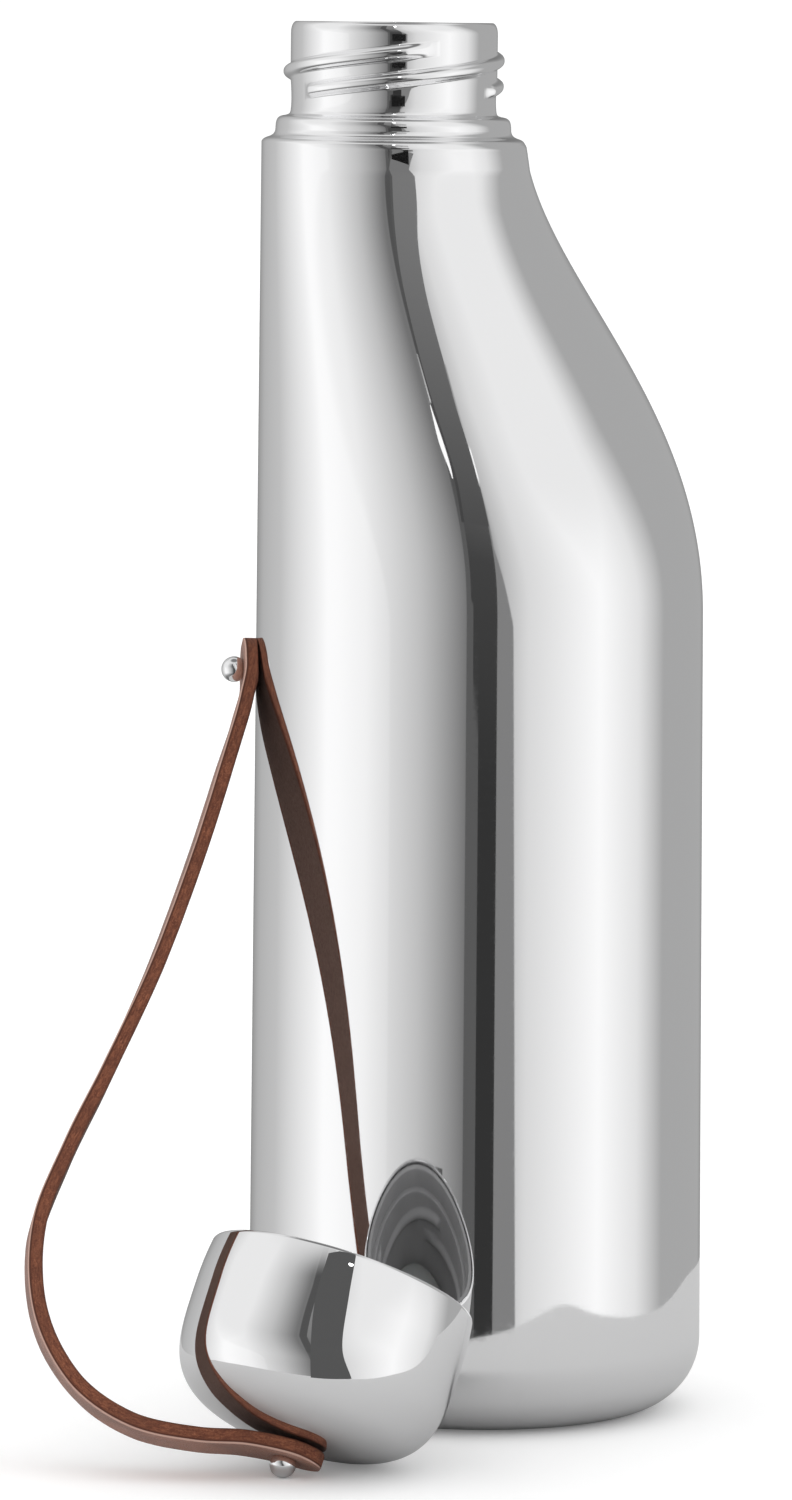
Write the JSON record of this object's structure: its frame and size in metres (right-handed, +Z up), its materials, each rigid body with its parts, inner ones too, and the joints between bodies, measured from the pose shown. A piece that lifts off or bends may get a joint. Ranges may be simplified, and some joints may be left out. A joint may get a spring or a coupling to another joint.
{
  "type": "vacuum flask with tethered screw cap",
  "caption": "Mirror-polished vacuum drinking flask, straight along its strap side and swelling opposite, with a threaded neck and a domed screw cap hanging on a leather strap.",
  "frame": {"origin": "centre of the round base, on the surface the flask stands on", "axes": "+Z up along the body, -X towards the straight side that carries the strap stud, -Y towards the cap"},
  "size_m": [0.1105, 0.1176, 0.2213],
  "materials": {
    "polished_steel": "mirror-polished stainless steel",
    "satin_steel": "satin stainless steel",
    "leather": "vegetable-tanned leather with a smooth grain side and raw cut edges",
    "insert_plastic": "moulded polypropylene, fine matt",
    "silicone": "translucent silicone",
    "foam": "closed-cell foam"
  },
  "bodies": {
    "bottle": {"outer_shell": "polished_steel", "threaded_neck": "polished_steel", "inner_liner": "satin_steel", "liner_base": "satin_steel", "base_pan": "satin_steel", "base_cover": "polished_steel", "vacuum_seal": "satin_steel", "getter": "satin_steel", "body_stud": "polished_steel"},
    "strap_top": {"strap_tab": "leather"},
    "strap": {"strap_loop": "leather"},
    "cap": {"cap_shell": "polished_steel", "cap_liner": "insert_plastic", "cap_seal": "silicone", "cap_insulation": "foam", "cap_stud": "polished_steel", "cap_stud_washer": "satin_steel", "cap_stud_nut": "satin_steel"}
  },
  "joints": [
    {"name": "strap_swing", "type": "hinge", "parent": "bottle", "child": "strap_top", "pos_m": [-0.0374, 0, 0.1183], "axis": [-1, 0, 0], "range_deg": [0, 120]},
    {"name": "strap_flex", "type": "hinge", "parent": "strap_top", "child": "strap", "pos_m": [-0.03954, -0.00361, 0.11215], "axis": [-0.0713, 0.8746, -0.4796], "range_deg": [0, 50]},
    {"name": "cap_swivel", "type": "hinge", "parent": "strap", "child": "cap", "pos_m": [-0.0345, -0.06535, 0.00396], "axis": [-0.3216, -0.3377, -0.8846], "continuous": true}
  ]
}
